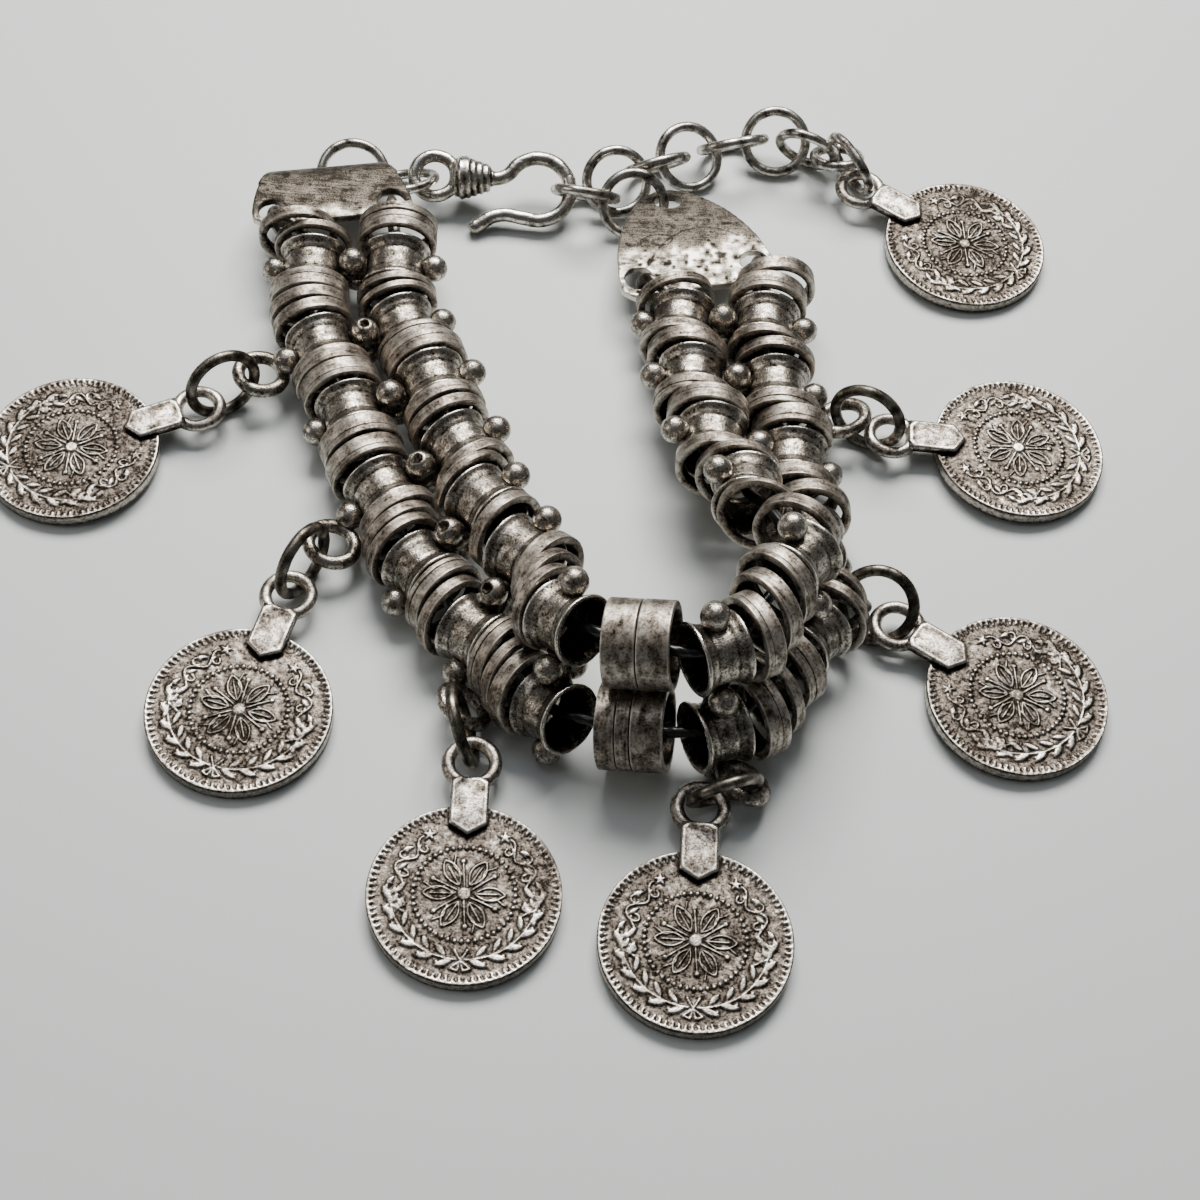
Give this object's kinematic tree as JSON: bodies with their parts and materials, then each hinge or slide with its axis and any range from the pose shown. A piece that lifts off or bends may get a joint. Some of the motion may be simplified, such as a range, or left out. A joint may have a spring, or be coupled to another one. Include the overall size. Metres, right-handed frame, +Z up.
{
  "type": "coin bracelet",
  "caption": "Silver bracelet of two tube-ring strands tied by double spool spacers, with end plates, hook-and-chain clasp and coins hung on jump rings, lying open-looped.",
  "frame": {"origin": "middle of the bracelet's box, at the surface that it lies on", "axes": "+Z up from the surface through the wrist opening, +X to the right and +Y to the clasp as the bracelet lies with its clasp at the back"},
  "size_m": [0.1162, 0.1137, 0.0188],
  "materials": {
    "plate": "aged silver sheet, brushed and pitted",
    "spool": "aged silver, worn bright on the high places, black in the recesses",
    "tube_ring": "aged silver sheet tube, brushed round, worn edges",
    "coin": "struck silver, dark ground, bright worn relief",
    "dark_wire": "tarnished silver wire, dark grey-brown",
    "hook": "aged silver wire, bright on top",
    "chain": "silver wire links, bright with grey tarnish",
    "cord": "black waxed cord"
  },
  "bodies": {
    "root": {"plate_left": "plate", "plate_right": "plate", "end_loop_1": "dark_wire", "end_loop_2": "dark_wire", "end_loop_3": "dark_wire", "end_loop_4": "dark_wire", "spacer_1": "spool", "spacer_2": "spool", "spacer_3": "spool", "spacer_4": "spool", "spacer_5": "spool", "spacer_6": "spool", "spacer_7": "spool", "spacer_8": "spool", "spacer_9": "spool", "spacer_10": "spool", "spacer_11": "spool", "spacer_12": "spool", "spacer_13": "spool", "rings_outer": "tube_ring", "rings_inner": "tube_ring", "thread_outer": "cord", "thread_inner": "cord", "coin_1": "coin", "coin_2": "coin", "coin_3": "coin", "coin_4": "coin", "coin_5": "coin", "coin_6": "coin", "coin_7": "coin", "jump_ring_1": "dark_wire", "jump_ring_2": "dark_wire", "jump_ring_3": "dark_wire", "jump_ring_4": "dark_wire", "jump_ring_5": "dark_wire", "jump_ring_6": "dark_wire", "hook": "hook", "ring_left": "chain", "link_left": "chain", "link_hook": "chain", "ring_right": "chain", "chain_link_1": "chain", "chain_link_2": "chain", "chain_link_3": "chain", "chain_link_4": "chain", "chain_link_5": "chain", "chain_link_6": "chain", "chain_link_7": "chain", "coin_link_7": "chain"}
  },
  "joints": []
}
